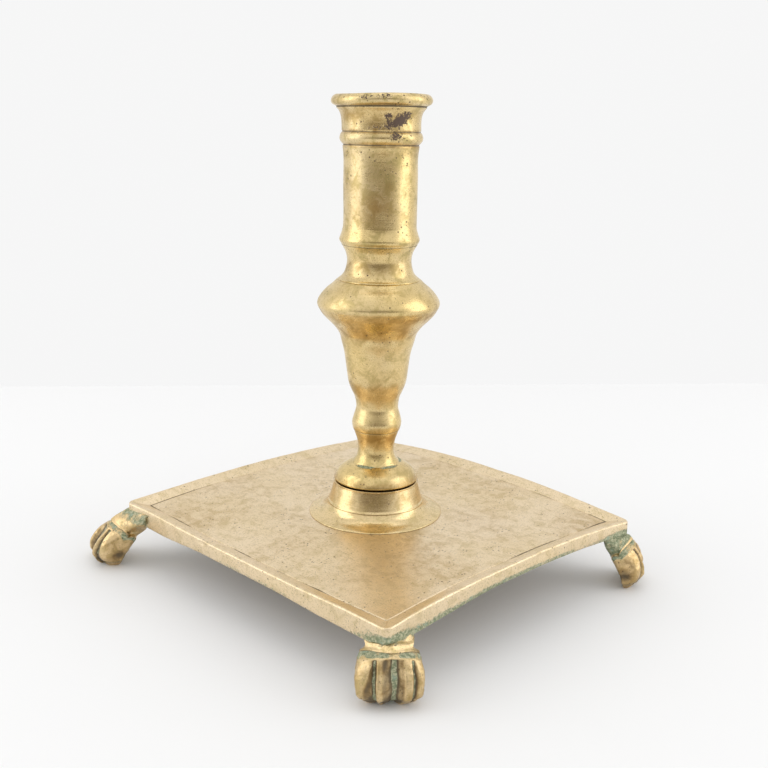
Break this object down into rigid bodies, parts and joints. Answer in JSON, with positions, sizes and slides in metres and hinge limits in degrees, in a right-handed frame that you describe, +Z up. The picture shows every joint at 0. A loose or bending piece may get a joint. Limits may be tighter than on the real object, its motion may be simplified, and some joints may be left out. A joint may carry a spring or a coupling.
{
  "type": "candlestick",
  "caption": "Antique brass candlestick: ringed tubular socket on a turned baluster stem, standing on a domed oblong plate with raised rim and splayed paw feet.",
  "frame": {"origin": "on the stem's axis at floor level, under the middle of the plate", "axes": "+Z up along the stem, X along the plate's long side, Y along its short side; the row's front corner is (+X, -Y)"},
  "size_m": [0.1814, 0.1662, 0.196],
  "materials": {
    "plate_brass": "old satin brass, brushed and pitted, light tan-gold with dirt in the rim line and verdigris under the edges",
    "turned_brass": "turned and hand-polished brass, warm gold with brown tarnish in the hollows",
    "socket_brass": "turned and hand-polished brass with dark tarnish under the lip",
    "foot_brass": "cast brass, worn on the toes, blue-green verdigris in the grooves",
    "fixing_brass": "dull unpolished brass"
  },
  "bodies": {
    "base": {"base_plate": "plate_brass", "stem_collar": "turned_brass", "foot_front": "foot_brass", "foot_right": "foot_brass", "foot_back": "foot_brass", "foot_left": "foot_brass"},
    "stem": {"stem": "turned_brass", "candle_socket": "socket_brass"},
    "washer": {"tang_washer": "fixing_brass"},
    "nut": {"tang_nut": "fixing_brass"}
  },
  "joints": [
    {"name": "stem_lift", "type": "slide", "parent": "base", "child": "stem", "axis": [0, 0, 1], "range_m": [0, 0.035]},
    {"name": "washer_drop", "type": "slide", "parent": "base", "child": "washer", "axis": [0, 0, -1], "range_m": [0, 0.00721]},
    {"name": "nut_turn", "type": "hinge", "parent": "washer", "child": "nut", "pos_m": [0, 0, 0.0197], "axis": [0, 0, -1], "range_deg": [0, 1620]}
  ],
  "couplings": [
    {"joint": "washer_drop", "follows": "nut_turn", "m_per_rad": 0.00025465}
  ]
}
